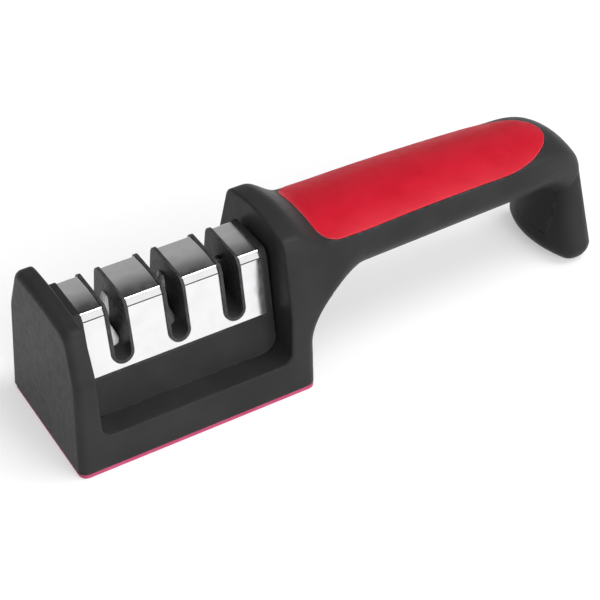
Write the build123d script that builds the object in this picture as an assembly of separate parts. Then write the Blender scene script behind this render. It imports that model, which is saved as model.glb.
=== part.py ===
from build123d import *
import os
from math import atan, cos, pi, radians, sin, sqrt, tan

# Pull through knife sharpener: a body with two end walls and a hooked handle, and a lift-out
# cartridge with three knife slots that stands between the walls.
# x runs from the outer end wall to the hook, y from front to back, z up from the table; millimetres.

# Body
end_wall_thickness = 8.4
bay_length = 63.3
far_wall_thickness = 8.6
body_width = 50.0
side_draft = 0.05
wall = 2.4
overrun = 6.0
pick_tolerance = 0.01
short_edge = 1.0

# Nonslip pad and base plate
pad_thickness = 1.8
pad_inset = 0.3
base_plate_thickness = 2.0
base_plate_clearance = 0.3

# Bay between the end walls
bay_floor_z = 12.8
bay_floor_thickness = 2.2
bay_lean = 1.6
bay_corner_radius = 4.0
bay_edge_radius = 0.9

# Outer end wall
end_wall_height = 50.0
end_wall_lean = 2.6
end_waist_drop = 16.0
end_waist_radius = 16.0
end_eave_inset = 6.9
end_eave_drop = 1.2
end_eave_radius = 5.0
end_edge_radius = 2.6

# Handle side wall, and the shoulder that runs from it into the handle
crest_z = 55.2
crest_waist_drop = 26.2
crest_eave_inset = 7.8
crest_eave_drop = 2.9
crest_setback = 2.3
dip_length = 12.0
flare_setback = 4.3
flare_length = 28.0
throat_radius = 14.0
throat_edge_radius = 3.4
shoulder_reach = 7.7
shoulder_step = 2.0

# Handle
grip_length = 64.0
grip_top_z = 49.7
grip_underside_z = 30.1
grip_width = 34.0
grip_taper = 0.024
grip_draft = 0.04
grip_arch_radius = 900.0
grip_arch_peak = 16.0
grip_eave_drop = 3.8
grip_eave_inset = 0.5
grip_eave_radius = 2.8
grip_waist_drop = 8.4
grip_waist_radius = 6.0
grip_inner_radius = 9.4
grip_step = 16.0

# Hook at the handle's end
bend_length = 22.8
bend_rise = 19.5
bend_power = 0.76
hook_lean = 9.6
hook_inner_lean = -9.0
hook_inner_reach = 8.5
hook_inner_radius = 5.0
hook_depth = 18.2
hook_tip_z = 0.2
hook_toe_radius = 5.2
hook_heel_radius = 6.0
hook_root_half = 12.0
hook_foot_half = 17.5
hook_tip_inset = 3.5
hook_sole = 6.0
hook_eave_drop = 1.4
hook_eave_radius = 5.6
hook_waist_drop = 7.2
hook_inner_corner_radius = 7.6
corner_share = 0.7
bend_steps = 6
tip_steps = 6

# Soft insert on top of the handle
insert_setback = 0.4
insert_length = 91.6
insert_inset = 1.3
insert_end_length = 25.0
insert_thickness = 1.8
insert_proud = 0.15
insert_corner_radius = 6.5
insert_gap = 0.1

# Hollow of the handle and hook
grip_hollow_half = 12.4
grip_hollow_radius = 5.5
grip_hollow_reach = 7.0
crown_wall = 4.8
hook_hollow_half = 7.6
hook_hollow_wall = 3.4
hook_hollow_foot = 8.0

# Handle cover, its screws and their bosses
cover_setback = 14.0
cover_half = 8.6
cover_foot_z = 9.0
cover_gap = 0.15
boss_radius = 3.2
screw_radius = 1.4
screw_clearance = 0.05
screw_head_radius = 2.6
screw_head_height = 1.5
screw_recess_width = 0.7
screw_recess_depth = 0.7
handle_screw_length = 9.0
handle_screw_inset = 9.0
handle_screw_count = 3
base_screw_length = 6.5
base_screw_inset = 13.0
base_screw_edge = 7.0

# Well in the bay floor that takes the cartridge's spigot
well_clearance = 0.4
well_wall = 1.6
spigot_end_room = 0.15
spigot_side_room = 1.0
spigot_depth = 5.8

# Cartridge frame
cartridge_play = 0.3
near_flange = 2.7
far_flange = 2.0
flange_proud = 0.5
skirt_foot_half = 15.8
skirt_top_half = 13.4
skirt_top_z = 25.4
skirt_wall = 2.2
skirt_corner_radius = 5.0
skirt_roof = 1.6
spigot_wall = 1.6
rib_thickness = 3.8

# Sheet steel cover of the cartridge
cover_sheet = 0.8
cover_foot_y = 12.9
cover_fold_y = 9.6
cover_fold_z = 44.5
cover_top_y = 8.2
cover_top_z = 46.6
cover_fold_radius = 0.9

# Knife slots and their guides
slot_pitch = 18.55
slot_width = 7.1
slot_floor_z = 27.4
liner_wall = 0.95
liner_proud = 0.6
guide_block_length = 14.4
guide_block_half = 6.8
guide_play = 0.05
liner_corner_radius = 2.6
cartridge_base_thickness = 1.8
cartridge_screw_length = 9.0
cartridge_screw_half_y = 5.6

# Sharpening rods and blades in the slots
rod_radius = 2.1
rod_length = 21.0
rod_angle = 21.5
rod_offset_y = 3.5
rod_cross_z = 30.6
rod_edge = 0.3
blade_thickness = 2.0
blade_width = 5.0
blade_offset_y = 1.3

body_length = end_wall_thickness + bay_length + far_wall_thickness
flare_start_x = body_length - flare_setback
grip_start_x = flare_start_x + flare_length
join_x = body_length + shoulder_reach
bend_start_x = grip_start_x + grip_length
lean = radians(hook_lean)
inner_lean = radians(hook_inner_lean)
end_waist_z = end_wall_height - end_waist_drop
end_eave_half = body_width / 2 - end_eave_inset
crest_waist_z = crest_z - crest_waist_drop
crest_eave_half = body_width / 2 - crest_eave_inset
base_screw_half_y = body_width / 2 - base_screw_edge
floor_underside_z = bay_floor_z - bay_floor_thickness
plate_top_z = pad_thickness + base_plate_thickness
grip_floor_z = grip_underside_z + wall
hook_wall_x = bend_start_x + hook_inner_reach + hook_inner_radius + hook_hollow_wall
cartridge_start_x = end_wall_thickness + cartridge_play
cartridge_end_x = end_wall_thickness + bay_length - cartridge_play
cover_start_x = cartridge_start_x + near_flange
cover_end_x = cartridge_end_x - far_flange
slot_xs = [(cover_start_x + cover_end_x) / 2 + slot_pitch * turn for turn in (-1, 0, 1)]
spigot_reach = slot_pitch + guide_block_length / 2 + spigot_end_room + spigot_wall
spigot_half = guide_block_half + spigot_side_room + spigot_wall
spigot_foot_z = bay_floor_z - spigot_depth
tube_foot_z = spigot_foot_z + cartridge_base_thickness


def across(x):
    """Plane square to the length at x, with its own x along y and its own y upwards."""
    return Plane(origin=(x, 0, 0), x_dir=(0, 1, 0), z_dir=(1, 0, 0))


def ease(start, length, x):
    """Smooth step from 0 at start to 1 at start + length."""
    t = min(max((x - start) / length, 0.0), 1.0)
    return t * t * (3 - 2 * t)


def blend(a, b, t):
    """Value that runs from a at t = 0 to b at t = 1."""
    return a + (b - a) * t


def block(x, y, z):
    """Box between the given pairs of coordinates."""
    size = [high - low for low, high in (x, y, z)]
    middle = [(high + low) / 2 for low, high in (x, y, z)]
    return Pos(*middle) * Box(*size)


def places(start, stop, step, before=0, after=0):
    """Even places from start to stop, with some more of the same spacing before and after."""
    count = max(round((stop - start) / step), 1)
    return [start + (stop - start) * k / count for k in range(-before, count + after + 1)]


def side_view(shape, half):
    """Solid of the given half width with a side view of x and z points, as an outline or a face."""
    face = shape if isinstance(shape, Sketch) else make_face(shape)
    return extrude(Plane.XZ * face, amount=half, both=True)


def corners_at(face, height):
    """The two corners of a section that lie at one height."""
    return face.vertices().filter_by(lambda corner: abs(corner.Y - height) < pick_tolerance)


def arch(foot, waist, eave, ridge, radii, sole=0.0):
    """Arched section. foot, waist and eave are (half width, height) and ridge is the top's height.

    radii are those of the eave, the waist and the foot; sole is how far the underside bulges.
    """
    outline = Line((-foot[0], foot[1]), (-waist[0], waist[1]))
    outline = outline + Line((-waist[0], waist[1]), (-eave[0], eave[1]))
    outline = outline + ThreePointArc((-eave[0], eave[1]), (0, ridge), eave)
    outline = outline + Line(eave, waist) + Line(waist, foot)
    if sole:
        outline = outline + ThreePointArc(foot, (0, foot[1] - sole), (-foot[0], foot[1]))
    else:
        outline = outline + Line(foot, (-foot[0], foot[1]))
    face = make_face(outline)
    for height, radius in zip((eave[1], waist[1], foot[1]), radii):
        if radius:
            face = fillet(corners_at(face, height), radius)
    return face


def side_half(z):
    """Half width of the body's tapered sides at height z."""
    return body_width / 2 - side_draft * (z - pad_thickness)


def grip_half(x):
    """Half width of the handle at x."""
    return grip_width / 2 - grip_taper * max(x - grip_start_x, 0.0)


def grip_ridge(x):
    """Height of the handle's slightly arched top at x."""
    off = x - grip_start_x - grip_arch_peak
    return grip_top_z - grip_arch_radius + sqrt(grip_arch_radius**2 - off**2)


def shoulder_profile(x):
    """Foot half width, waist, eave, ridge and eave radius of the shoulder or handle at x."""
    flare = ease(flare_start_x, flare_length, x)
    ridge = blend(crest_z, grip_ridge(x), ease(body_length - crest_setback, dip_length, x))
    eave_half = blend(crest_eave_half, grip_half(x) - grip_eave_inset, flare)
    eave = (eave_half, ridge - blend(crest_eave_drop, grip_eave_drop, flare))
    waist_z = blend(crest_waist_z, grip_ridge(x) - grip_waist_drop, flare)
    waist = (blend(side_half(crest_waist_z), grip_half(x), flare), waist_z)
    foot_half = waist[0] + blend(side_draft, -grip_draft, flare) * (waist_z - pad_thickness)
    return foot_half, waist, eave, ridge, blend(end_eave_radius, grip_eave_radius, flare)


def shoulder_section(x):
    """Section of the shoulder that reaches down to the pad."""
    foot_half, waist, eave, ridge, eave_radius = shoulder_profile(x)
    foot = (foot_half, pad_thickness)
    return across(x) * arch(foot, waist, eave, ridge, (eave_radius, grip_waist_radius, 0))


def throat_drop(x):
    """How far the curve under the shoulder lies below the handle's underside at x."""
    reach = max(body_length + throat_radius - x, 0.0)
    return throat_radius - sqrt(max(throat_radius**2 - reach**2, 0.0))


def grip_section(x):
    """Section of the handle, closed along its underside."""
    foot_half, waist, eave, ridge, eave_radius = shoulder_profile(x)
    foot_z = grip_underside_z - throat_drop(x)
    foot_half = blend(waist[0], foot_half, (waist[1] - foot_z) / (waist[1] - pad_thickness))
    settle = ease(join_x, grip_start_x - join_x, x)
    foot_radius = blend(throat_edge_radius, grip_inner_radius, settle)
    radii = (eave_radius, grip_waist_radius, foot_radius)
    return across(x) * arch((foot_half, foot_z), waist, eave, ridge, radii)


def hook_section(inner, outer, half, bend):
    """Section of the hook from its inner to its outer point; bend is its share of the bend."""
    outward = (outer - inner).normalized()
    depth = (outer - inner).length
    size = min(depth / hook_depth, 1.0)
    sole = hook_sole * bend * size
    eave_drop = blend(grip_eave_drop, hook_eave_drop, bend) * size
    waist = (half, depth - blend(grip_waist_drop, hook_waist_drop, bend) * size)
    eave = (half - grip_eave_inset * size, depth - eave_drop)
    foot = (half - grip_draft * (waist[1] - sole), sole)
    eave_radius = blend(grip_eave_radius, hook_eave_radius, bend)
    foot_radius = blend(grip_inner_radius, hook_inner_corner_radius, bend)
    # The foot's corner takes no more than its share of the straight side above it.
    turn = pi / 2 - 2 * atan(sole / half)
    room = blend(1, corner_share, bend) * (waist[1] - sole) / tan(turn / 2)
    foot_radius = min(foot_radius * size, room)
    radii = (eave_radius * size, grip_waist_radius * size, foot_radius)
    plane = Plane(origin=inner, x_dir=(0, 1, 0), z_dir=Vector(0, 1, 0).cross(outward))
    return plane * arch(foot, waist, eave, depth, radii, sole)


def shoulder():
    """Handle side wall down to the pad, with the curve under the handle cut in."""
    start = body_length - far_wall_thickness
    sections = [shoulder_section(x) for x in places(flare_start_x, join_x, shoulder_step, 0, 2)]
    solid = extrude(shoulder_section(start), amount=flare_start_x - start) + loft(sections)
    top = crest_z + overrun
    throat_z = grip_underside_z - throat_radius
    throat_end = (body_length + throat_radius, grip_underside_z)
    outline = Polyline((start, pad_thickness), (body_length, pad_thickness), (body_length, throat_z))
    outline = outline + RadiusArc((body_length, throat_z), throat_end, throat_radius)
    outline = outline + Polyline(throat_end, (throat_end[0], top), (start, top), (start, pad_thickness))
    solid = solid & side_view(outline, body_width)
    edges = solid.edges().filter_by(
        lambda edge: edge.center().X > body_length - pick_tolerance
        and abs(edge.center().Y) > crest_eave_half
        and edge.center().Z < grip_underside_z
        and edge.bounding_box().size.Z > short_edge
    )
    solid = fillet(edges, throat_edge_radius)
    return solid & block((0, join_x), (-body_width, body_width), (0, top))


def bend_sections():
    """Sections of the bend; its outer line is part of a full ellipse that ends at the leg's lean."""
    stop = atan((bend_length / (bend_rise * tan(lean))) ** (1 / (2 - bend_power)))
    sections = []
    for step in range(bend_steps + 1):
        share = step / bend_steps
        angle = stop * share
        turn = (pi / 2 - inner_lean) * share
        outer_x = bend_start_x + bend_length * sin(angle) ** bend_power
        outer_z = grip_ridge(bend_start_x) - bend_rise * (1 - cos(angle) ** bend_power)
        inner_x = bend_start_x + hook_inner_reach * share + hook_inner_radius * sin(turn)
        inner_z = grip_underside_z - hook_inner_radius * (1 - cos(turn))
        half = blend(grip_half(bend_start_x), hook_root_half, share)
        sections.append((Vector(inner_x, 0, inner_z), Vector(outer_x, 0, outer_z), half, share))
    return sections


def tip_sections(root):
    """Sections of the hook's rounded tip, from the leg's end to its flat underside."""
    inner, outer = root[:2]
    heel_run = inner.Z - hook_tip_z - hook_heel_radius
    toe_run = outer.Z - hook_tip_z - hook_toe_radius
    heel = inner + Vector(tan(inner_lean), 0, -1) * heel_run
    toe = outer + Vector(tan(lean), 0, -1) * toe_run
    sections = []
    for step in range(tip_steps + 1):
        angle = pi / 2 * step / tip_steps
        lift = Vector(1 - cos(angle), 0, -sin(angle))
        tuck = Vector(cos(angle) - 1, 0, -sin(angle))
        half = hook_foot_half - hook_tip_inset * (1 - cos(angle))
        sections.append((heel + lift * hook_heel_radius, toe + tuck * hook_toe_radius, half, 1.0))
    return sections


def handle():
    """Handle from the shoulder to the hook's tip."""
    neck = loft([grip_section(x) for x in places(join_x, grip_start_x, shoulder_step, 2, 0)])
    neck = neck & block((join_x, grip_start_x), (-body_width, body_width), (0, crest_z + overrun))
    bar = loft([grip_section(x) for x in places(grip_start_x, bend_start_x, grip_step)])
    bend = bend_sections()
    tip = tip_sections(bend[-1])
    solid = neck + bar + loft([hook_section(*section) for section in bend])
    solid = solid + loft([hook_section(*bend[-1]), hook_section(*tip[0])], ruled=True)
    return solid + loft([hook_section(*section) for section in tip])


def bay(gap=0.0):
    """Space between the end walls, grown by the gap on its three sides."""
    floor = bay_floor_z - gap
    top = crest_z + overrun
    near = end_wall_thickness - gap
    far = end_wall_thickness + bay_length + gap
    outline = Polyline((near, top), (near, floor), (far, floor), (far + bay_lean, top), (near, top))
    face = make_face(outline)
    return side_view(fillet(corners_at(face, floor), bay_corner_radius + gap), body_width)


def end_block():
    """Outer end wall and the block below the bay."""
    foot = (side_half(pad_thickness), pad_thickness)
    waist = (side_half(end_waist_z), end_waist_z)
    eave = (end_eave_half, end_wall_height - end_eave_drop)
    section = arch(foot, waist, eave, end_wall_height, (end_eave_radius, end_waist_radius, 0))
    far = body_length - far_wall_thickness
    solid = extrude(across(0) * section, amount=far)
    top = end_wall_height + overrun
    slant = end_wall_lean * (top - pad_thickness) / (end_wall_height - pad_thickness)
    outline = Polyline((0, pad_thickness), (slant, top), (far, top), (far, pad_thickness), (0, pad_thickness))
    solid = solid & side_view(outline, body_width)
    rim = solid.edges().filter_by(
        lambda edge: edge.center().X < end_wall_lean
        and edge.bounding_box().max.Z > pad_thickness + short_edge
    )
    return fillet(rim, end_edge_radius)


def body_form():
    """Outer form of the body, with the bay cut out and its edges softened."""
    space = bay()
    solid = end_block() + shoulder() + handle() - space
    edges = solid.edges().filter_by(lambda edge: space.distance_to(edge @ 0.5) < pick_tolerance)
    return fillet(edges.filter_by(Axis.Y, reverse=True), bay_edge_radius)


def cylinder(x, y, z, radius):
    """Upright cylinder between two heights."""
    return Pos(x, y, (z[0] + z[1]) / 2) * Cylinder(radius, z[1] - z[0])


def screw(head_z, length):
    """Screw along z with its head's outer face at head_z and its shank above, at x = y = 0."""
    head = cylinder(0, 0, (head_z, head_z + screw_head_height), screw_head_radius)
    shank = cylinder(0, 0, (head_z + screw_head_height, head_z + length), screw_radius)
    solid = head + shank
    slot = (head_z - overrun, head_z + screw_recess_depth)
    reach = (-screw_radius, screw_radius)
    across_slot = (-screw_recess_width / 2, screw_recess_width / 2)
    return solid - block(reach, across_slot, slot) - block(across_slot, reach, slot)


def screw_hole(x, y, head_z, length):
    """Clearance for a screw that goes in from below."""
    head = (head_z - overrun, head_z + screw_head_height)
    hole = cylinder(x, y, head, screw_head_radius + screw_clearance)
    return hole + cylinder(x, y, (head_z, head_z + length + screw_clearance), screw_radius + screw_clearance)


def base_screw_places():
    """Places of the screws that hold the base plate."""
    xs = (base_screw_inset, body_length - base_screw_inset)
    return [(x, y) for x in xs for y in (-base_screw_half_y, base_screw_half_y)]


def handle_screw_places():
    """Places of the screws that hold the handle cover."""
    first = body_length + cover_setback + handle_screw_inset
    last = bend_start_x - handle_screw_inset
    return [(x, 0.0) for x in places(first, last, (last - first) / (handle_screw_count - 1))]


def cartridge_screw_places():
    """Places of the screws that hold the cartridge's bottom plate."""
    xs = [(left + right) / 2 for left, right in zip(slot_xs, slot_xs[1:])]
    return [(x, y) for x in xs for y in (-cartridge_screw_half_y, cartridge_screw_half_y)]


def hook_wall(z):
    """x of the inner side of the hook's hollow at height z."""
    return hook_wall_x + (grip_floor_z - z) * tan(inner_lean)


def hollow_roof():
    """Height of the roof of the handle's hollow."""
    return grip_ridge(bend_start_x) - crown_wall


def handle_hollow():
    """Hollow that runs through the handle and, narrower, down the hook."""
    roof_z = hollow_roof()
    reach = (body_length - wall, bend_start_x + grip_hollow_reach)
    solid = block(reach, (-grip_hollow_half, grip_hollow_half), (grip_floor_z, roof_z))
    solid = fillet(solid.edges().filter_by(Axis.X), grip_hollow_radius)
    outer_x = bend_start_x + bend_length - wall
    foot_z = hook_tip_z + hook_hollow_foot
    bend_z = grip_ridge(bend_start_x) - bend_rise
    foot_x = outer_x + (bend_z - foot_z) * tan(lean)
    points = [(bend_start_x, grip_floor_z), (bend_start_x, roof_z), (outer_x, roof_z), (outer_x, bend_z)]
    points += [(foot_x, foot_z), (hook_wall(foot_z), foot_z), (hook_wall_x, grip_floor_z), points[0]]
    face = make_face(Polyline(*points))
    corner = face.vertices().sort_by_distance((outer_x, roof_z))[0]
    face = fillet(corner, roof_z - bend_z - wall)
    return solid + side_view(face, hook_hollow_half)


def base_hollow():
    """Hollow of the block and of both end walls, open at the bottom."""
    foot = (side_half(pad_thickness) - wall, pad_thickness)
    waist = (side_half(end_waist_z) - wall, end_waist_z)
    eave = (end_eave_half - wall, end_wall_height - end_eave_drop - wall)
    section = arch(foot, waist, eave, end_wall_height - wall, (end_eave_radius - wall, end_waist_radius, 0))
    far = body_length - wall
    solid = extrude(across(wall) * section, amount=far - wall)
    top = end_wall_height
    slant = end_wall_lean * (top - pad_thickness) / (end_wall_height - pad_thickness)
    points = [(wall, pad_thickness), (wall + slant, top), (far, top), (far, pad_thickness)]
    return (solid & side_view(Polyline(*points, points[0]), body_width)) - bay(wall)


def insert_plan(gap):
    """Upright prism over the insert's outline, grown by the gap; its far end is half an ellipse."""
    start = join_x - insert_setback - gap
    turn_x = join_x - insert_setback + insert_length - insert_end_length
    near = grip_half(start) - insert_inset + gap
    far = grip_half(turn_x) - insert_inset + gap
    front = [(start, -near), (grip_start_x, -near), (turn_x, -far)]
    back = [(x, -y) for x, y in reversed(front)]
    face = make_face(Polyline(*front, *back, front[0]))
    corners = face.vertices().filter_by(lambda corner: corner.X < start + short_edge)
    round_end = Pos(turn_x, 0) * Ellipse(insert_end_length + gap, far)
    return extrude(fillet(corners, insert_corner_radius + gap) + round_end, amount=crest_z + overrun)


def cover_space(gap):
    """Space of the handle cover under the handle and on the hook's inner side, drawn in by the gap."""
    start = body_length + cover_setback + gap
    foot_z = cover_foot_z + gap
    points = [(start, 0), (start, grip_floor_z), (hook_wall_x, grip_floor_z)]
    points += [(hook_wall(cover_foot_z), foot_z), (bend_start_x, foot_z), (bend_start_x, 0), points[0]]
    return side_view(Polyline(*points), cover_half - gap)


def handle_top(gap):
    """Upright prism of the insert's outline above the handle's underside, grown by the gap."""
    reach = (0, bend_start_x + 2 * bend_length)
    above = block(reach, (-body_width, body_width), (grip_underside_z, crest_z + overrun))
    return insert_plan(gap) & above


def spigot(gap, foot_z, top_z):
    """Upright block of the cartridge's spigot between two heights, grown by the gap."""
    middle = (cover_start_x + cover_end_x) / 2
    reach = spigot_reach + gap
    return block((middle - reach, middle + reach), (-spigot_half - gap, spigot_half + gap), (foot_z, top_z))


def main_body(form, sunk):
    """Main body with its hollows, the recess for the insert, the well and the screw bosses."""
    solid = form - (handle_top(insert_gap) - sunk)
    solid = solid - base_hollow() - handle_hollow() - cover_space(0.0)
    well_foot = spigot_foot_z - well_clearance
    solid = solid + spigot(well_clearance + well_wall, well_foot - well_wall, floor_underside_z)
    solid = solid - spigot(well_clearance, well_foot, bay_floor_z + overrun)
    for x, y in base_screw_places():
        solid = solid + cylinder(x, y, (plate_top_z, floor_underside_z), boss_radius)
        solid = solid - screw_hole(x, y, pad_thickness, base_screw_length)
    for x, y in handle_screw_places():
        solid = solid + cylinder(x, y, (grip_floor_z, hollow_roof()), boss_radius)
        solid = solid - screw_hole(x, y, grip_underside_z, handle_screw_length)
    return solid


def handle_cover(form):
    """Cover under the handle and on the hook's inner side, with its screw holes."""
    solid = form & cover_space(cover_gap)
    for x, y in handle_screw_places():
        solid = solid - screw_hole(x, y, grip_underside_z, handle_screw_length)
    return solid


def grip_insert(form, sunk):
    """Soft insert let into the top of the handle."""
    return ((Pos(0, 0, insert_proud) * form) & handle_top(0.0)) - sunk


def plate_outline(inset):
    """Flat outline of the body's foot, drawn in by the inset."""
    length = body_length - 2 * inset
    width = 2 * (side_half(pad_thickness) - inset)
    return Pos(body_length / 2, 0) * RectangleRounded(length, width, end_edge_radius)


def nonslip_pad():
    """Soft pad under the body."""
    return extrude(plate_outline(pad_inset), amount=pad_thickness)


def base_plate():
    """Plate that closes the hollow of the body."""
    inset = wall + base_plate_clearance
    solid = Pos(0, 0, pad_thickness) * extrude(plate_outline(inset), amount=base_plate_thickness)
    for x, y in base_screw_places():
        solid = solid - screw_hole(x, y, pad_thickness, base_screw_length)
    return solid


def screws(head_z, length, spots):
    """Equal screws at the given places."""
    return [Pos(x, y, 0) * screw(head_z, length) for x, y in spots]


def cover_outline(grow, radius=cover_fold_radius):
    """Outline across the cartridge of its steel cover, grown by the given amount."""
    foot = cover_foot_y + grow
    fold = (cover_fold_y + grow, cover_fold_z + grow / 2)
    top = (cover_top_y + grow, cover_top_z + grow)
    points = [(foot, skirt_top_z), fold, top]
    left = [(-y, z) for y, z in points]
    face = make_face(Polyline(*left, *reversed(points), left[0]))
    return fillet(corners_at(face, top[1]) + corners_at(face, fold[1]), radius)


def steel_cover():
    """Folded sheet over the cartridge, with three slots."""
    length = cover_end_x - cover_start_x
    solid = extrude(across(cover_start_x) * cover_outline(0.0), amount=length)
    solid = solid - extrude(across(cover_start_x) * cover_outline(-cover_sheet), amount=length)
    solid = solid - block((0, body_length), (-body_width, body_width), (0, skirt_top_z))
    for x in slot_xs:
        solid = solid - slot_tunnel(x, slot_width / 2 + guide_play, slot_floor_z - guide_play)
    return solid


def slot_tunnel(x, half, floor_z):
    """Slot with a round bottom, open upwards, through the whole width."""
    left = (x - half, floor_z + half)
    right = (x + half, floor_z + half)
    top = crest_z + overrun
    outline = Polyline(left, (x - half, top), (x + half, top), right)
    return side_view(outline + ThreePointArc(right, (x, floor_z), left), body_width)


def rod_line(x, side):
    """Middle and direction of a rod; side is -1 for the front one and +1 for the back one."""
    tilt = radians(rod_angle)
    direction = Vector(-side * sin(tilt), 0, -cos(tilt))
    return Vector(x, side * rod_offset_y, rod_cross_z), direction


def rod(x, side, grow=0.0):
    """Round sharpening rod that leans across its slot."""
    middle, direction = rod_line(x, side)
    solid = Plane(origin=middle, z_dir=direction) * Cylinder(rod_radius + grow, rod_length + 2 * grow)
    if grow:
        return solid
    return chamfer(solid.edges(), rod_edge)


def blade(x, side, grow=0.0):
    """Flat sharpening blade that leans across its slot."""
    middle, direction = rod_line(x, side)
    middle = Vector(x, side * blade_offset_y, rod_cross_z)
    plane = Plane(origin=middle, x_dir=(0, 1, 0), z_dir=direction)
    return plane * Box(blade_thickness + 2 * grow, blade_width + 2 * grow, rod_length + 2 * grow)


def guide(x, tool):
    """Liner of one slot with the block below it that holds the two rods or blades."""
    outline = cover_outline(liner_proud, liner_corner_radius)
    profile = extrude(across(x - slot_width / 2) * outline, amount=slot_width)
    liner = profile & slot_tunnel(x, slot_width / 2, slot_floor_z)
    reach = guide_block_length / 2
    roof_z = cover_top_z - cover_sheet - guide_play
    body = block((x - reach, x + reach), (-guide_block_half, guide_block_half), (tube_foot_z, roof_z))
    solid = liner + body
    solid = solid - slot_tunnel(x, slot_width / 2 - liner_wall, slot_floor_z + liner_wall)
    for side in (-1, 1):
        solid = solid - tool(x, side, guide_play)
    return solid


def skirt():
    """Black lower part of the cartridge with its roof, rounded at both lower corners."""
    right = [(skirt_foot_half, bay_floor_z), (skirt_top_half, skirt_top_z)]
    left = [(-y, z) for y, z in reversed(right)]
    section = make_face(Polyline(*right, *left, right[0]))
    return extrude(across(cartridge_start_x) * section, amount=cartridge_end_x - cartridge_start_x)


def cartridge_limits():
    """Space within the cartridge's ends, rounded at both lower corners."""
    size = cover_top_z + overrun
    solid = block((cartridge_start_x, cartridge_end_x), (-body_width, body_width), (bay_floor_z, size))
    corners = solid.edges().filter_by(Axis.Y).sort_by(Axis.Z)[:2]
    return fillet(corners, skirt_corner_radius)


def cartridge_frame():
    """Skirt, end flanges, ribs and spigot of the cartridge."""
    outline = cover_outline(flange_proud, liner_corner_radius)
    flanges = extrude(across(cartridge_start_x) * outline, amount=cartridge_end_x - cartridge_start_x)
    solid = (skirt() + flanges) & cartridge_limits()
    inner_half = skirt_top_half - skirt_wall
    room = (cover_start_x, cover_end_x)
    solid = solid - block(room, (-body_width, body_width), (skirt_top_z, crest_z + overrun))
    solid = solid - block(room, (-inner_half, inner_half), (bay_floor_z + skirt_roof, crest_z + overrun))
    solid = solid + spigot(0.0, tube_foot_z, bay_floor_z)
    solid = solid - spigot(-spigot_wall, 0, crest_z + overrun)
    for x, _ in cartridge_screw_places()[::2]:
        rib = (x - rib_thickness / 2, x + rib_thickness / 2)
        solid = solid + block(rib, (-spigot_half, spigot_half), (tube_foot_z, skirt_top_z))
    for x, y in cartridge_screw_places():
        solid = solid - screw_hole(x, y, spigot_foot_z, cartridge_screw_length)
    return solid


def cartridge_base():
    """Plate that closes the spigot."""
    solid = spigot(0.0, spigot_foot_z, tube_foot_z)
    for x, y in cartridge_screw_places():
        solid = solid - screw_hole(x, y, spigot_foot_z, cartridge_screw_length)
    return solid


def all_parts():
    """Every piece by its node's name."""
    form = body_form()
    sunk = Pos(0, 0, -insert_thickness) * form
    fine_x, medium_x, coarse_x = slot_xs
    return {
        "main_body": main_body(form, sunk),
        "handle_cover": handle_cover(form),
        "grip_insert": grip_insert(form, sunk),
        "base_plate": base_plate(),
        "nonslip_pad": nonslip_pad(),
        "base_screws": screws(pad_thickness, base_screw_length, base_screw_places()),
        "handle_screws": screws(grip_underside_z, handle_screw_length, handle_screw_places()),
        "cartridge_frame": cartridge_frame(),
        "cartridge_base": cartridge_base(),
        "cartridge_screws": screws(spigot_foot_z, cartridge_screw_length, cartridge_screw_places()),
        "steel_cover": steel_cover(),
        "fine_guide": guide(fine_x, rod),
        "medium_guide": guide(medium_x, rod),
        "coarse_guide": guide(coarse_x, blade),
        "fine_rod_front": rod(fine_x, -1),
        "fine_rod_back": rod(fine_x, 1),
        "medium_rod_front": rod(medium_x, -1),
        "medium_rod_back": rod(medium_x, 1),
        "coarse_blade_front": blade(coarse_x, -1),
        "coarse_blade_back": blade(coarse_x, 1),
    }


os.makedirs("parts", exist_ok=True)
pieces = all_parts()
# The middle of the whole object's length comes to x = 0.
ends = [pieces["main_body"].bounding_box().min.X, pieces["main_body"].bounding_box().max.X]
centring = Pos(-sum(ends) / 2, 0, 0)
for name, piece in pieces.items():
    solids = piece if isinstance(piece, list) else piece.solids()
    export_step(Compound(children=[centring * solid for solid in solids]), f"parts/{name}.step")
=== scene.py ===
"""Pull through knife sharpener, dressed for its picture.

The measured solids give the sizes. This script gives them smooth skins, soft edges and finishes, and
sets the floor, the light and the camera round them.
"""
import logging
from dataclasses import dataclass, field
from enum import Enum
from math import pi, radians

import bmesh
import bpy
from mathutils import Matrix, Vector


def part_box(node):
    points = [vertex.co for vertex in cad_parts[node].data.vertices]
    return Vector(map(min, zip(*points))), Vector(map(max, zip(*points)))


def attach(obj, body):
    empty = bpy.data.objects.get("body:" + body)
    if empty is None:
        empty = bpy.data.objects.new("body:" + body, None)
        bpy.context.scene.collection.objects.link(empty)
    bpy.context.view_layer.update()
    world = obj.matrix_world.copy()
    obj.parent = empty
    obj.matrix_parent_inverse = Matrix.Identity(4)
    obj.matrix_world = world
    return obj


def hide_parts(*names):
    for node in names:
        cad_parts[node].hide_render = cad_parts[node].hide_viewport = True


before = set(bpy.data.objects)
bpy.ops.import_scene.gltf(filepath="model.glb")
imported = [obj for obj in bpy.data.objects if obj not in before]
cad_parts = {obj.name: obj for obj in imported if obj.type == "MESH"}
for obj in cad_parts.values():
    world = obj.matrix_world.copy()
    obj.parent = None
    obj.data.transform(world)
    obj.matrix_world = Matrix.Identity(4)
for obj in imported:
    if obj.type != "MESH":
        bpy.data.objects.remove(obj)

log = logging.getLogger("sharpener")
MM = 0.001
WHITE = (1.0, 1.0, 1.0, 1.0)
BEVEL_SAMPLES = 6
Colour = tuple[float, float, float]
Span = tuple[float, float]


class Body(Enum):
    """The two bodies that pieces ride on."""

    BASE = "base"
    CARTRIDGE = "cartridge"


class Side(Enum):
    """Side of a slot on which a rod or blade has its foot's middle."""

    FRONT = -1
    BACK = 1


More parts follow.
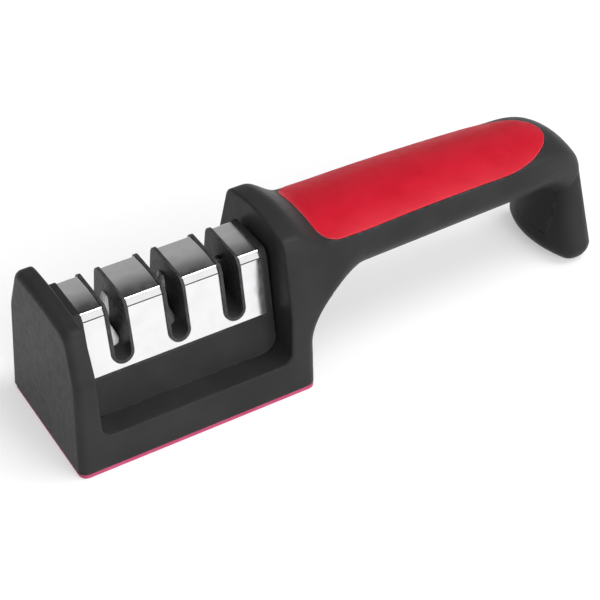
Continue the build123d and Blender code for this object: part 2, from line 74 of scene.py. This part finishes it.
class Graph:
    """Node tree of one material round its surface shader."""

    def __init__(self, name: str) -> None:
        """Makes the material with an empty surface shader.

        Args:
            name: Name of the material.
        """
        self.material = bpy.data.materials.new(name)
        self.material.use_nodes = True
        self.tree = self.material.node_tree
        self.shader = self.tree.nodes["Principled BSDF"]
        self.coordinates = self.add("ShaderNodeTexCoord").outputs["Object"]

    @classmethod
    def again(cls, material: bpy.types.Material) -> "Graph":
        """Opens a finished material to add to it.

        Args:
            material: The material.

        Returns:
            Its graph.
        """
        graph = cls.__new__(cls)
        graph.material = material
        graph.tree = material.node_tree
        graph.shader = graph.tree.nodes["Principled BSDF"]
        graph.coordinates = graph.add("ShaderNodeTexCoord").outputs["Object"]
        return graph

    def add(self, kind: str, **settings: object) -> bpy.types.Node:
        """Adds a node.

        Args:
            kind: Type of the node.
            settings: Values for the node's own properties.

        Returns:
            The new node.
        """
        node = self.tree.nodes.new(kind)
        for key, value in settings.items():
            setattr(node, key, value)
        return node

    def wire(self, value: object, socket: bpy.types.NodeSocket) -> None:
        """Links a socket to another, or sets it where the value is a number or colour.

        Args:
            value: Output socket, number or colour.
            socket: Input socket.
        """
        if isinstance(value, bpy.types.NodeSocket):
            self.tree.links.new(value, socket)
        else:
            socket.default_value = value

    def stretched(self, scale: tuple[float, float, float]) -> bpy.types.NodeSocket:
        """Object coordinates, stretched.

        Args:
            scale: Stretch along each axis.

        Returns:
            The vector output.
        """
        node = self.add("ShaderNodeMapping")
        node.inputs["Scale"].default_value = scale
        self.wire(self.coordinates, node.inputs["Vector"])
        return node.outputs["Vector"]

    def noise(self, size: float, detail: float = 2.0, place: object = None) -> bpy.types.NodeSocket:
        """Soft noise.

        Args:
            size: Size of its grains in metres.
            detail: Number of finer layers.
            place: Vector output to read, or None for plain object coordinates.

        Returns:
            The factor output.
        """
        node = self.add("ShaderNodeTexNoise")
        node.inputs["Scale"].default_value = 1.0 / size
        node.inputs["Detail"].default_value = detail
        self.wire(place or self.coordinates, node.inputs["Vector"])
        return node.outputs["Fac"]

    def pits(self, size: float) -> bpy.types.NodeSocket:
        """Distance within cells, for sparks and eroded grain.

        Args:
            size: Size of a cell in metres.

        Returns:
            The distance output.
        """
        node = self.add("ShaderNodeTexVoronoi")
        node.inputs["Scale"].default_value = 1.0 / size
        self.wire(self.coordinates, node.inputs["Vector"])
        return node.outputs["Distance"]

    def ranged(
        self, value: object, low: float, high: float, span: Span = (0.3, 0.7)
    ) -> bpy.types.NodeSocket:
        """Maps a value's span to new limits.

        Args:
            value: Output socket to map.
            low: Result at the span's start.
            high: Result at the span's end.
            span: Start and end of the incoming values.

        Returns:
            The result's output.
        """
        node = self.add("ShaderNodeMapRange", interpolation_type="SMOOTHSTEP")
        self.wire(value, node.inputs["Value"])
        for socket, number in zip(("From Min", "From Max", "To Min", "To Max"), (*span, low, high)):
            node.inputs[socket].default_value = number
        return node.outputs["Result"]

    def mixed(self, share: object, first: object, second: object) -> bpy.types.NodeSocket:
        """Mixes two colours.

        Args:
            share: Share of the second colour.
            first: First colour or output.
            second: Second colour or output.

        Returns:
            The colour output.
        """
        node = self.add("ShaderNodeMix", data_type="RGBA")
        self.wire(share, node.inputs[0])
        self.wire(first if isinstance(first, bpy.types.NodeSocket) else (*first, 1.0), node.inputs[6])
        self.wire(second if isinstance(second, bpy.types.NodeSocket) else (*second, 1.0), node.inputs[7])
        return node.outputs[2]

    def rounded(self, radius: float) -> bpy.types.NodeSocket:
        """Normal of the surface with its edges rounded.

        Args:
            radius: Radius of the edges in metres.

        Returns:
            The normal output.
        """
        soft = self.add("ShaderNodeBevel", samples=BEVEL_SAMPLES)
        soft.inputs["Radius"].default_value = radius
        return soft.outputs["Normal"]

    def wear_and_highlight(
        self, radius: float, patch: float, span: Span = (0.42, 0.6), turned: Span = (0.72, 0.985)
    ) -> bpy.types.NodeSocket:
        """Share of scuffed edge with a painted edge highlight: where the rounded normal leaves the flat one,
        broken up by noise.

        Args:
            radius: Reach of the scuffed edge and its painted highlight from an edge in metres.
            patch: Size of the scuffed and highlighted spots in metres.
            span: Noise at which the scuffing and painted highlight start and are full.
            turned: Cosines of the angle between the normals at which the scuffing and painted highlight are
                full and end.

        Returns:
            The share's output.
        """
        flat = self.add("ShaderNodeNewGeometry")
        dot = self.add("ShaderNodeVectorMath", operation="DOT_PRODUCT")
        self.wire(self.rounded(radius), dot.inputs[0])
        self.wire(flat.outputs["Normal"], dot.inputs[1])
        edge = self.ranged(dot.outputs["Value"], 1.0, 0.0, turned)
        product = self.add("ShaderNodeMath", operation="MULTIPLY")
        self.wire(edge, product.inputs[0])
        self.wire(self.ranged(self.noise(patch, 3.0), 0.0, 1.0, span), product.inputs[1])
        return product.outputs["Value"]

    def relief(self, layers: list[tuple[object, float]], edge: float) -> None:
        """Gives the shader a normal with rounded edges and layers of relief.

        Args:
            layers: Pairs of a height output and its depth in metres.
            edge: Radius of the rounded edges in metres.
        """
        normal = self.rounded(edge)
        for height, depth in layers:
            bump = self.add("ShaderNodeBump")
            bump.inputs["Strength"].default_value = 1.0
            bump.inputs["Distance"].default_value = depth
            self.wire(height, bump.inputs["Height"])
            self.wire(normal, bump.inputs["Normal"])
            normal = bump.outputs["Normal"]
        self.wire(normal, self.shader.inputs["Normal"])

    def put(self, **values: object) -> None:
        """Sets or links the shader's own inputs; a name's underscores stand for spaces."""
        for key, value in values.items():
            self.wire(value, self.shader.inputs[key.replace("_", " ")])


@dataclass(frozen=True)
class MouldedPlastic:
    """Black moulded plastic with a fine eroded grain.

    Args:
        name: Name of the material.
        colour: Mean colour.
        rubbed_and_highlit: Colour of its edges, partly scuffing and partly a painted highlight along them.
        roughness: Least and greatest roughness.
        grain: Size of the grain in metres.
        depth: Depth of the grain in metres.
        edge: Radius of the edges in metres.
        wear_and_highlight_reach: Reach of the scuffed edges and their painted highlight in metres.
        cloud: Size of the faint clouds in the colour in metres.
        cloudiness: How far the clouds leave the mean colour, as a share.
        sink: Size and depth of the mould's faint waves in metres.
    """

    name: str
    colour: Colour = (0.0255, 0.0255, 0.0265)
    rubbed_and_highlit: Colour = (0.055, 0.055, 0.056)
    roughness: tuple[float, float] = (0.36, 0.43)
    grain: float = 0.42 * MM
    depth: float = 0.014 * MM
    edge: float = 0.4 * MM
    wear_and_highlight_reach: float = 1.1 * MM
    cloud: float = 14 * MM
    cloudiness: float = 0.12
    sink: Span = (7 * MM, 0.03 * MM)

    def material(self) -> bpy.types.Material:
        """Returns the material."""
        graph = Graph(self.name)
        dark = tuple((1 - self.cloudiness) * part for part in self.colour)
        light = tuple((1 + self.cloudiness) * part for part in self.colour)
        base = graph.mixed(graph.ranged(graph.noise(self.cloud, 3.0), 0.0, 1.0), dark, light)
        # Base colour: lighter edges, partly scuffing and partly a painted highlight along the edges.
        graph.put(
            Base_Color=graph.mixed(graph.wear_and_highlight(self.wear_and_highlight_reach, 2.5 * MM), base, self.rubbed_and_highlit),
            Roughness=graph.ranged(graph.noise(2.2 * MM, 4.0), *self.roughness),
            IOR=1.18,
        )
        waves = graph.noise(self.sink[0], 2.0)
        graph.relief([(graph.noise(self.grain, 3.0), self.depth), (waves, self.sink[1])], self.edge)
        return graph.material


@dataclass(frozen=True)
class SoftGrip:
    """Dyed soft grip or pad with a satin skin.

    Args:
        name: Name of the material.
        colour: Colour of most of the skin.
        cloudy: Colour of its faint clouds.
        pale_wear_and_highlight: Colour of its edges, partly scuffing and partly a painted highlight.
        roughness: Least and greatest roughness.
        grain: Size of the grain in metres.
        depth: Depth of the grain in metres.
        edge: Radius of the edges in metres.
        wear_and_highlight_reach: Reach of the lighter edges, scuffing and painted highlight, in metres.
        sink: Size and depth of the mould's faint waves in metres.
    """

    name: str
    colour: Colour
    cloudy: Colour
    pale_wear_and_highlight: Colour
    roughness: tuple[float, float]
    grain: float = 0.3 * MM
    depth: float = 0.008 * MM
    edge: float = 0.5 * MM
    wear_and_highlight_reach: float = 0.5 * MM
    sink: Span = (7 * MM, 0.04 * MM)

    def material(self) -> bpy.types.Material:
        """Returns the material."""
        graph = Graph(self.name)
        cloud = graph.mixed(graph.ranged(graph.noise(9 * MM, 3.0), 0.0, 1.0), self.colour, self.cloudy)
        # Base colour: paler edges, partly scuffing and partly a painted highlight along the rims.
        graph.put(
            Base_Color=graph.mixed(graph.wear_and_highlight(self.wear_and_highlight_reach, 1.6 * MM, (0.2, 0.5)), cloud, self.pale_wear_and_highlight),
            Roughness=graph.ranged(graph.noise(3 * MM, 4.0), *self.roughness),
            IOR=1.26,
            Subsurface_Weight=0.06,
            Subsurface_Radius=(1.2 * MM, 0.3 * MM, 0.3 * MM),
            Subsurface_Scale=1.0,
        )
        waves = graph.noise(self.sink[0], 1.0)
        graph.relief([(graph.noise(self.grain, 3.0), self.depth), (waves, self.sink[1])], self.edge)
        return graph.material


@dataclass(frozen=True)
class Metal:
    """Metal with fine lines along one axis, such as polished, ground or plain steel.

    Args:
        name: Name of the material.
        colour: Colour of the clean metal.
        dull: Colour of its smudges.
        roughness: Least and greatest roughness.
        lines: Stretch of the lines along each axis.
        line_width: Width of the lines in metres.
        line_depth: Depth of the lines in metres.
        edge: Radius of the edges in metres.
    """

    name: str
    colour: Colour
    dull: Colour
    roughness: tuple[float, float]
    lines: tuple[float, float, float] = (0.04, 1.0, 1.0)
    line_width: float = 0.12 * MM
    line_depth: float = 0.0006 * MM
    edge: float = 0.12 * MM

    def material(self) -> bpy.types.Material:
        """Returns the material."""
        graph = Graph(self.name)
        lines = graph.noise(self.line_width, 2.0, graph.stretched(self.lines))
        smudge = graph.noise(6 * MM, 4.0)
        graph.put(
            Base_Color=graph.mixed(graph.ranged(smudge, 0.0, 1.0, (0.35, 0.8)), self.colour, self.dull),
            Roughness=graph.ranged(graph.noise(4 * MM, 5.0), *self.roughness),
            Metallic=1.0,
        )
        graph.relief([(lines, self.line_depth)], self.edge)
        return graph.material


@dataclass(frozen=True)
class FoldedSteel(Metal):
    """Polished sheet with a dark line painted along its fold, a painted reflection of a dark edge there.

    Args:
        fold_z: Height of the line in metres.
        line_half: Half the line's width in metres.
        painted_fold_reflection: Colour of the painted reflection line.
    """

    fold_z: float = 44.5 * MM
    line_half: float = 0.16 * MM
    painted_fold_reflection: Colour = (0.05, 0.05, 0.05)

    def material(self) -> bpy.types.Material:
        """Returns the material."""
        material = super().material()
        graph = Graph.again(material)
        split = graph.add("ShaderNodeSeparateXYZ")
        graph.wire(graph.coordinates, split.inputs["Vector"])
        line = graph.add("ShaderNodeMath", operation="COMPARE")
        graph.wire(split.outputs["Z"], line.inputs[0])
        graph.wire(self.fold_z, line.inputs[1])
        graph.wire(self.line_half, line.inputs[2])
        plain = graph.shader.inputs["Base Color"].links[0].from_socket
        # Paints a dark reflection line into the colour at the fold's height.
        graph.put(Base_Color=graph.mixed(line.outputs["Value"], plain, self.painted_fold_reflection))
        return material


@dataclass(frozen=True)
class Ceramic:
    """Pale ground ceramic with faint grey traces of steel.

    Args:
        name: Name of the material.
        colour: Colour of the clean ceramic.
        grey: Colour of the traces.
    """

    name: str
    colour: Colour = (0.82, 0.82, 0.8)
    grey: Colour = (0.5, 0.5, 0.49)

    def material(self) -> bpy.types.Material:
        """Returns the material."""
        graph = Graph(self.name)
        streak = graph.noise(0.5 * MM, 3.0, graph.stretched((1.0, 1.0, 0.12)))
        graph.put(
            Base_Color=graph.mixed(graph.ranged(streak, 0.0, 0.8, (0.5, 0.72)), self.colour, self.grey),
            Roughness=graph.ranged(graph.noise(1.2 * MM, 3.0), 0.38, 0.55),
            IOR=1.6,
        )
        graph.relief([(graph.noise(0.16 * MM, 2.0), 0.006 * MM)], 0.15 * MM)
        return graph.material


@dataclass(frozen=True)
class GritCoat:
    """Steel with a coat of fine hard grit.

    Args:
        name: Name of the material.
        colour: Colour of the coat.
        spark: Colour of its grains.
    """

    name: str
    colour: Colour = (0.42, 0.42, 0.42)
    spark: Colour = (0.75, 0.75, 0.74)

    def material(self) -> bpy.types.Material:
        """Returns the material."""
        graph = Graph(self.name)
        grit = graph.pits(0.22 * MM)
        graph.put(
            Base_Color=graph.mixed(graph.ranged(grit, 1.0, 0.0, (0.05, 0.35)), self.colour, self.spark),
            Roughness=graph.ranged(graph.noise(0.8 * MM, 3.0), 0.35, 0.6),
            Metallic=0.75,
        )
        graph.relief([(grit, 0.05 * MM)], 0.15 * MM)
        return graph.material


class Finish(Enum):
    """The object's finishes, one for each slot of the record."""

    BLACK = MouldedPlastic("black_plastic")
    LINER = MouldedPlastic(
        "liner_plastic",
        colour=(0.04, 0.04, 0.041),
        # Lighter rims: scuffing plus a painted highlight along the liner's edges.
        rubbed_and_highlit=(0.09, 0.09, 0.092),
        roughness=(0.24, 0.34),
        grain=0.3 * MM,
        depth=0.006 * MM,
        edge=0.35 * MM,
    )
    GRIP = SoftGrip(
        "soft_red",
        colour=(0.475, 0.003, 0.016),
        cloudy=(0.52, 0.006, 0.022),
        # Paler edges: scuffing plus a painted highlight along the grip's rims.
        pale_wear_and_highlight=(0.5, 0.17, 0.19),
        roughness=(0.38, 0.48),
    )
    PAD = SoftGrip(
        "pad_red",
        colour=(0.42, 0.055, 0.13),
        cloudy=(0.46, 0.08, 0.16),
        # Paler edges: scuffing plus a painted highlight along the pad's rims.
        pale_wear_and_highlight=(0.5, 0.13, 0.2),
        roughness=(0.6, 0.75),
        grain=0.5 * MM,
        depth=0.02 * MM,
        edge=0.3 * MM,
    )
    POLISHED = FoldedSteel(
        "polished_steel", colour=(0.87, 0.87, 0.88), dull=(0.81, 0.81, 0.82), roughness=(0.12, 0.2)
    )
    SCREW = Metal(
        "screw_steel",
        colour=(0.56, 0.56, 0.57),
        dull=(0.42, 0.42, 0.42),
        roughness=(0.25, 0.4),
        lines=(1.0, 1.0, 0.2),
        line_width=0.3 * MM,
        line_depth=0.003 * MM,
    )
    CERAMIC = Ceramic("ceramic")
    GRIT = GritCoat("diamond_coat")
    CARBIDE = Metal(
        "carbide",
        colour=(0.3, 0.3, 0.31),
        dull=(0.2, 0.2, 0.2),
        roughness=(0.22, 0.4),
        lines=(1.0, 1.0, 0.06),
        line_width=0.25 * MM,
        line_depth=0.002 * MM,
    )


class Wardrobe:
    """Makes each finish's material once."""

    def __init__(self) -> None:
        """Starts with no material made."""
        self.made: dict[Finish, bpy.types.Material] = {}

    def dress(self, piece: bpy.types.Object, finish: Finish) -> None:
        """Gives a piece its finish as its only material.

        Args:
            piece: Object to dress.
            finish: Its finish.
        """
        if finish not in self.made:
            self.made[finish] = finish.value.material()
        piece.data.materials.clear()
        piece.data.materials.append(self.made[finish])


WARDROBE = Wardrobe()


def place_piece(
    mesh: bpy.types.Mesh, name: str, body: Body, finish: Finish, *nodes: str
) -> bpy.types.Object:
    """Puts a finished mesh into the scene as a piece that stands for its nodes.

    Args:
        mesh: The mesh, in its place in metres.
        name: Name of the piece.
        body: Body it rides on.
        finish: Its finish.
        nodes: Measured solids that it stands for.

    Returns:
        The piece.
    """
    piece = bpy.data.objects.new(name, mesh)
    bpy.context.scene.collection.objects.link(piece)
    WARDROBE.dress(piece, finish)
    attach(piece, body.value)
    if nodes:
        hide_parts(*nodes)
    return piece


def smooth_by_angle(work: bmesh.types.BMesh, limit: float) -> None:
    """Shades a mesh smooth, with sharp edges where two faces meet at more than the limit.

    Args:
        work: Mesh to shade.
        limit: Angle in radians.
    """
    for face in work.faces:
        face.smooth = True
    for edge in work.edges:
        edge.smooth = len(edge.link_faces) == 2 and edge.calc_face_angle(pi) < limit


@dataclass
class Skin:
    """Smooth skin over one measured solid.

    Args:
        node: The solid's node.
        name: Name of the skin.
        body: Body it rides on.
        finish: Its finish.
        crease: Angle above which an edge stays sharp, in radians.
        soften: Width of a true bevel along sharp edges in metres, or 0 for none.
        weld: Distance within which points of the measured mesh are joined, in metres.
        speck: Length below which an edge counts as none, in metres.
    """

    node: str
    name: str
    body: Body
    finish: Finish
    crease: float = radians(28)
    soften: float = 0.0
    weld: float = 0.002 * MM
    speck: float = 0.001 * MM

    def shape(self, work: bmesh.types.BMesh) -> None:
        """Leaves the form as it is measured; some skins change it a little."""

    def build(self) -> bpy.types.Object:
        """Copies the solid's surface, closes it and shades it.

        Returns:
            The piece.
        """
        work = bmesh.new()
        work.from_mesh(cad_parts[self.node].data)
        bmesh.ops.remove_doubles(work, verts=work.verts, dist=self.weld)
        bmesh.ops.dissolve_degenerate(work, edges=work.edges, dist=self.speck)
        self.shape(work)
        if self.soften:
            bmesh.ops.dissolve_limit(
                work,
                angle_limit=radians(1),
                verts=work.verts,
                edges=work.edges,
                use_dissolve_boundaries=False,
            )
            whole = [edge for edge in work.edges if edge.is_manifold]
            bmesh.ops.bevel(
                work,
                geom=[edge for edge in whole if edge.calc_face_angle(0.0) > self.crease],
                offset=self.soften,
                offset_type="OFFSET",
                affect="EDGES",
                segments=3,
                profile=0.5,
                material=-1,
                clamp_overlap=True,
            )
        smooth_by_angle(work, self.crease)
        mesh = bpy.data.meshes.new(self.name)
        work.to_mesh(mesh)
        work.free()
        piece = place_piece(mesh, self.name, self.body, self.finish, self.node)
        weigh = piece.modifiers.new("even_shading", "WEIGHTED_NORMAL")
        weigh.keep_sharp = True
        weigh.weight = 50
        return piece


@dataclass
class Shell:
    """Body, its cover, pad and base plate."""

    def build(self) -> list[bpy.types.Object]:
        """Builds the shell's pieces."""
        return [
            Skin("main_body", "body_shell", Body.BASE, Finish.BLACK).build(),
            Skin("handle_cover", "handle_cover_skin", Body.BASE, Finish.BLACK).build(),
            Skin("base_plate", "base_plate_skin", Body.BASE, Finish.BLACK).build(),
            Skin("nonslip_pad", "pad_skin", Body.BASE, Finish.PAD, soften=0.25 * MM).build(),
            Skin("grip_insert", "insert_skin", Body.BASE, Finish.GRIP).build(),
        ]


@dataclass
class CrownedCover(Skin):
    """Skin of the steel cover, whose flat top rises a little towards its middle.

    Args:
        rise: How far the middle rises in metres.
        half: Half width of the top in metres.
        floor_z: Height above which the sheet belongs to the top.
        bands: Number of strips that the top is divided into.
        cut_reach: Distance within which a cut takes a point that is there, in metres.
    """

    rise: float = 0.32 * MM
    half: float = 8.2 * MM
    floor_z: float = 45.6 * MM
    bands: int = 12
    cut_reach: float = 0.0005 * MM

    def shape(self, work: bmesh.types.BMesh) -> None:
        """Divides the top into strips and lifts them to a low arch.

        Args:
            work: Mesh of the cover.
        """
        for band in range(1, self.bands):
            y = self.half * (2 * band / self.bands - 1)
            top = [face for face in work.faces if face.calc_center_median().z > self.floor_z]
            edges = {edge for face in top for edge in face.edges}
            verts = {vert for face in top for vert in face.verts}
            bmesh.ops.bisect_plane(
                work,
                geom=[*verts, *edges, *top],
                dist=self.cut_reach,
                plane_co=(0.0, y, 0.0),
                plane_no=(0.0, 1.0, 0.0),
            )
        for vert in work.verts:
            if vert.co.z > self.floor_z and abs(vert.co.y) < self.half:
                vert.co.z += self.rise * (1 - (vert.co.y / self.half) ** 2)


@dataclass
class Cartridge:
    """Lift-out cartridge: its frame, cover, liners and bottom plate."""

    guides: tuple[str, ...] = ("fine_guide", "medium_guide", "coarse_guide")

    def build(self) -> list[bpy.types.Object]:
        """Builds the cartridge's pieces."""
        made = [
            Skin("cartridge_frame", "frame_skin", Body.CARTRIDGE, Finish.BLACK).build(),
            Skin("cartridge_base", "cartridge_base_skin", Body.CARTRIDGE, Finish.BLACK).build(),
            CrownedCover("steel_cover", "cover_skin", Body.CARTRIDGE, Finish.POLISHED, radians(24)).build(),
        ]
        for node in self.guides:
            made.append(Skin(node, f"{node}_skin", Body.CARTRIDGE, Finish.LINER).build())
        return made


@dataclass
class RoundRod:
    """Round sharpening rod with chamfered ends, leaning across its slot.

    Args:
        node: The measured rod's node.
        side: Side of its slot.
        finish: Its finish.
        radius: Radius in metres.
        length: Length in metres.
        chamfer: Width of the chamfer at its ends in metres.
        lean: Lean from upright in radians.
        around: Number of faces round it.
    """

    node: str
    side: Side
    finish: Finish
    radius: float = 2.1 * MM
    length: float = 21.0 * MM
    chamfer: float = 0.3 * MM
    lean: float = radians(21.5)
    around: int = 72

    def build(self) -> bpy.types.Object:
        """Builds the rod upright, chamfers its ends and leans it.

        Returns:
            The piece.
        """
        low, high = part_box(self.node)
        work = bmesh.new()
        bmesh.ops.create_cone(
            work,
            cap_ends=True,
            segments=self.around,
            radius1=self.radius,
            radius2=self.radius,
            depth=self.length,
        )
        rims = [edge for edge in work.edges if edge.verts[0].co.z * edge.verts[1].co.z > 0.0]
        bmesh.ops.bevel(
            work,
            geom=rims,
            offset=self.chamfer,
            offset_type="OFFSET",
            affect="EDGES",
            segments=3,
            profile=0.5,
            material=-1,
        )
        lean = Matrix.Rotation(self.side.value * self.lean, 4, "Y")
        bmesh.ops.transform(work, matrix=Matrix.Translation((low + high) / 2) @ lean, verts=work.verts)
        smooth_by_angle(work, radians(35))
        mesh = bpy.data.meshes.new(f"{self.node}_round")
        work.to_mesh(mesh)
        work.free()
        return place_piece(mesh, f"{self.node}_round", Body.CARTRIDGE, self.finish, self.node)


@dataclass
class Tools:
    """Rods and blades that sharpen."""

    def build(self) -> list[bpy.types.Object]:
        """Builds the rods and blades."""
        made = []
        for stage, finish in (("fine", Finish.CERAMIC), ("medium", Finish.GRIT)):
            for side in Side:
                made.append(RoundRod(f"{stage}_rod_{side.name.lower()}", side, finish).build())
        for side in Side:
            node = f"coarse_blade_{side.name.lower()}"
            made.append(Skin(node, f"{node}_ground", Body.CARTRIDGE, Finish.CARBIDE, soften=0.2 * MM).build())
        return made


@dataclass
class Fasteners:
    """Screws under the base, the cartridge and the handle."""

    def build(self) -> list[bpy.types.Object]:
        """Builds the screws."""
        return [
            Skin("base_screws", "base_screws_turned", Body.BASE, Finish.SCREW).build(),
            Skin("handle_screws", "handle_screws_turned", Body.BASE, Finish.SCREW).build(),
            Skin("cartridge_screws", "cartridge_screws_turned", Body.CARTRIDGE, Finish.SCREW).build(),
        ]


@dataclass
class Lamp:
    """Far soft lamp, which lights floor and object evenly.

    Args:
        name: Name of the lamp.
        towards: Direction from the object to the lamp.
        strength: Light it gives, where 1 shows a colour as it is.
        spread: Angle that it fills in the sky, in radians.
        mirrored: Whether it shows in reflections.
    """

    name: str
    towards: tuple[float, float, float]
    strength: float
    spread: float = radians(30)
    mirrored: bool = True

    def build(self) -> bpy.types.Object:
        """Hangs the lamp.

        Returns:
            The lamp.
        """
        data = bpy.data.lights.new(self.name, "SUN")
        data.angle = self.spread
        data.energy = self.strength * pi
        lamp = bpy.data.objects.new(self.name, data)
        lamp.visible_glossy = self.mirrored
        bpy.context.scene.collection.objects.link(lamp)
        way = Vector(self.towards).normalized()
        lamp.location = way
        lamp.rotation_euler = way.to_track_quat("Z", "Y").to_euler()
        return lamp


@dataclass
class Studio:
    """Floor, surroundings, lamps and camera.

    Args:
        floor_half: Half the floor's side in metres.
        floor_shade: Brightness of the floor's colour.
        floor_glow: Light that the floor adds for the camera and for reflections.
        fill: Even light from all round.
        tent: Brightness of the white tent in reflections.
        back: Brightness of the tent's upper back in reflections.
        dark_roof: Brightness of the tent's roof in reflections.
        front_rise: Heights, as shares of the way up, between which the tent's front turns dark.
        back_rise: The same for its back.
        turn_back: Shares of the way back between which the front passes into the back.
        camera_place: Place of the camera in metres.
        camera_turn: Turn of the camera in radians.
        focal_length: Focal length of the camera in millimetres.
        sensor_width: Width of the camera's picture plane in millimetres.
        lamps: The lamps.
    """

    floor_half: float = 30.0
    floor_shade: float = 0.62
    floor_glow: float = 0.4
    fill: float = 0.46
    tent: float = 1.0
    back: float = 0.4
    dark_roof: float = 0.04
    front_rise: Span = (0.5, 0.85)
    back_rise: Span = (0.6, 0.72)
    turn_back: Span = (-0.35, 0.15)
    camera_place: tuple[float, float, float] = (-0.22206, -0.35490, 0.35540)
    camera_turn: tuple[float, float, float] = (radians(50.432), 0.0, radians(-31.004))
    focal_length: float = 101.89
    sensor_width: float = 36.0
    lamps: list[Lamp] = field(
        default_factory=lambda: [
            Lamp("key_lamp", (0.4, -0.22, 0.89), 0.44),
            Lamp("front_lamp", (0.1, -0.93, 0.34), 0.86, radians(50), mirrored=False),
        ]
    )

    def build_camera(self) -> bpy.types.Object:
        """Sets the camera where the photograph was taken.

        Returns:
            The camera.
        """
        data = bpy.data.cameras.new("camera")
        data.lens = self.focal_length
        data.sensor_width = self.sensor_width
        data.clip_start = 0.01
        camera = bpy.data.objects.new("camera", data)
        bpy.context.scene.collection.objects.link(camera)
        camera.location = self.camera_place
        camera.rotation_euler = self.camera_turn
        bpy.context.scene.camera = camera
        return camera

    def build_floor(self) -> bpy.types.Object:
        """Lays the white floor, which keeps the object's shadow.

        Returns:
            The floor.
        """
        work = bmesh.new()
        bmesh.ops.create_grid(work, x_segments=1, y_segments=1, size=self.floor_half)
        mesh = bpy.data.meshes.new("floor")
        work.to_mesh(mesh)
        work.free()
        floor = bpy.data.objects.new("floor", mesh)
        bpy.context.scene.collection.objects.link(floor)
        graph = Graph("white_floor")
        shade = (self.floor_shade,) * 3
        graph.put(Base_Color=(*shade, 1.0), Roughness=0.9, Specular_IOR_Level=0.0, Emission_Color=WHITE)
        seen = graph.add("ShaderNodeLightPath")
        either = graph.add("ShaderNodeMath", operation="MAXIMUM")
        graph.wire(seen.outputs["Is Camera Ray"], either.inputs[0])
        graph.wire(seen.outputs["Is Glossy Ray"], either.inputs[1])
        glow = graph.add("ShaderNodeMath", operation="MULTIPLY")
        graph.wire(either.outputs["Value"], glow.inputs[0])
        graph.wire(self.floor_glow, glow.inputs[1])
        graph.put(Emission_Strength=glow.outputs["Value"])
        below = graph.add("ShaderNodeNewGeometry")
        clear = graph.add("ShaderNodeBsdfTransparent")
        mixed = graph.add("ShaderNodeMixShader")
        graph.wire(below.outputs["Backfacing"], mixed.inputs["Fac"])
        graph.wire(graph.shader.outputs["BSDF"], mixed.inputs[1])
        graph.wire(clear.outputs["BSDF"], mixed.inputs[2])
        graph.wire(mixed.outputs["Shader"], graph.tree.nodes["Material Output"].inputs["Surface"])
        mesh.materials.append(graph.material)
        return floor

    def build_surroundings(self) -> bpy.types.World:
        """Makes a white tent with a dark roof for reflections, and an even fill for the rest.

        Returns:
            The world.
        """
        world = bpy.data.worlds.new("tent")
        world.use_nodes = True
        tree = world.node_tree
        tree.nodes.clear()
        way = tree.nodes.new("ShaderNodeTexCoord")
        split = tree.nodes.new("ShaderNodeSeparateXYZ")
        tree.links.new(way.outputs["Generated"], split.inputs["Vector"])
        ranges = {
            "back": ("Z", *self.back_rise, self.back, self.dark_roof),
            "front": ("Z", *self.front_rise, self.tent, self.dark_roof),
            "side": ("Y", *self.turn_back, 0.0, 1.0),
        }
        graded = {}
        for name, (axis, *numbers) in ranges.items():
            node = tree.nodes.new("ShaderNodeMapRange")
            node.interpolation_type = "SMOOTHSTEP"
            for socket, number in zip(("From Min", "From Max", "To Min", "To Max"), numbers):
                node.inputs[socket].default_value = number
            tree.links.new(split.outputs[axis], node.inputs["Value"])
            graded[name] = node.outputs["Result"]
        sides = tree.nodes.new("ShaderNodeMix")
        tree.links.new(graded["side"], sides.inputs[0])
        tree.links.new(graded["front"], sides.inputs[2])
        tree.links.new(graded["back"], sides.inputs[3])
        seen = tree.nodes.new("ShaderNodeLightPath")
        fill = tree.nodes.new("ShaderNodeBackground")
        fill.inputs["Strength"].default_value = self.fill
        tent = tree.nodes.new("ShaderNodeBackground")
        tree.links.new(sides.outputs[0], tent.inputs["Strength"])
        white = tree.nodes.new("ShaderNodeBackground")
        white.inputs["Strength"].default_value = 1.0
        for shade in (fill, tent, white):
            shade.inputs["Color"].default_value = WHITE
        glossy = tree.nodes.new("ShaderNodeMixShader")
        tree.links.new(seen.outputs["Is Glossy Ray"], glossy.inputs["Fac"])
        tree.links.new(fill.outputs["Background"], glossy.inputs[1])
        tree.links.new(tent.outputs["Background"], glossy.inputs[2])
        clear = tree.nodes.new("ShaderNodeMath")
        clear.operation = "MAXIMUM"
        tree.links.new(seen.outputs["Is Camera Ray"], clear.inputs[0])
        tree.links.new(seen.outputs["Is Transmission Ray"], clear.inputs[1])
        last = tree.nodes.new("ShaderNodeMixShader")
        tree.links.new(clear.outputs["Value"], last.inputs["Fac"])
        tree.links.new(glossy.outputs["Shader"], last.inputs[1])
        tree.links.new(white.outputs["Background"], last.inputs[2])
        out = tree.nodes.new("ShaderNodeOutputWorld")
        tree.links.new(last.outputs["Shader"], out.inputs["Surface"])
        bpy.context.scene.world = world
        return world

    def build(self) -> None:
        """Builds the whole studio."""
        self.build_camera()
        self.build_floor()
        self.build_surroundings()
        for lamp in self.lamps:
            lamp.build()
        bpy.context.scene.view_settings.view_transform = "Standard"


def main() -> None:
    """Builds the sharpener and its studio."""
    logging.basicConfig(level=logging.INFO, format="%(message)s")
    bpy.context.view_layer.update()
    for part in (Shell(), Cartridge(), Tools(), Fasteners()):
        for piece in part.build():
            log.info("%s: %s, %d faces", type(part).__name__, piece.name, len(piece.data.polygons))
    Studio().build()


if __name__ == "__main__":
    main()
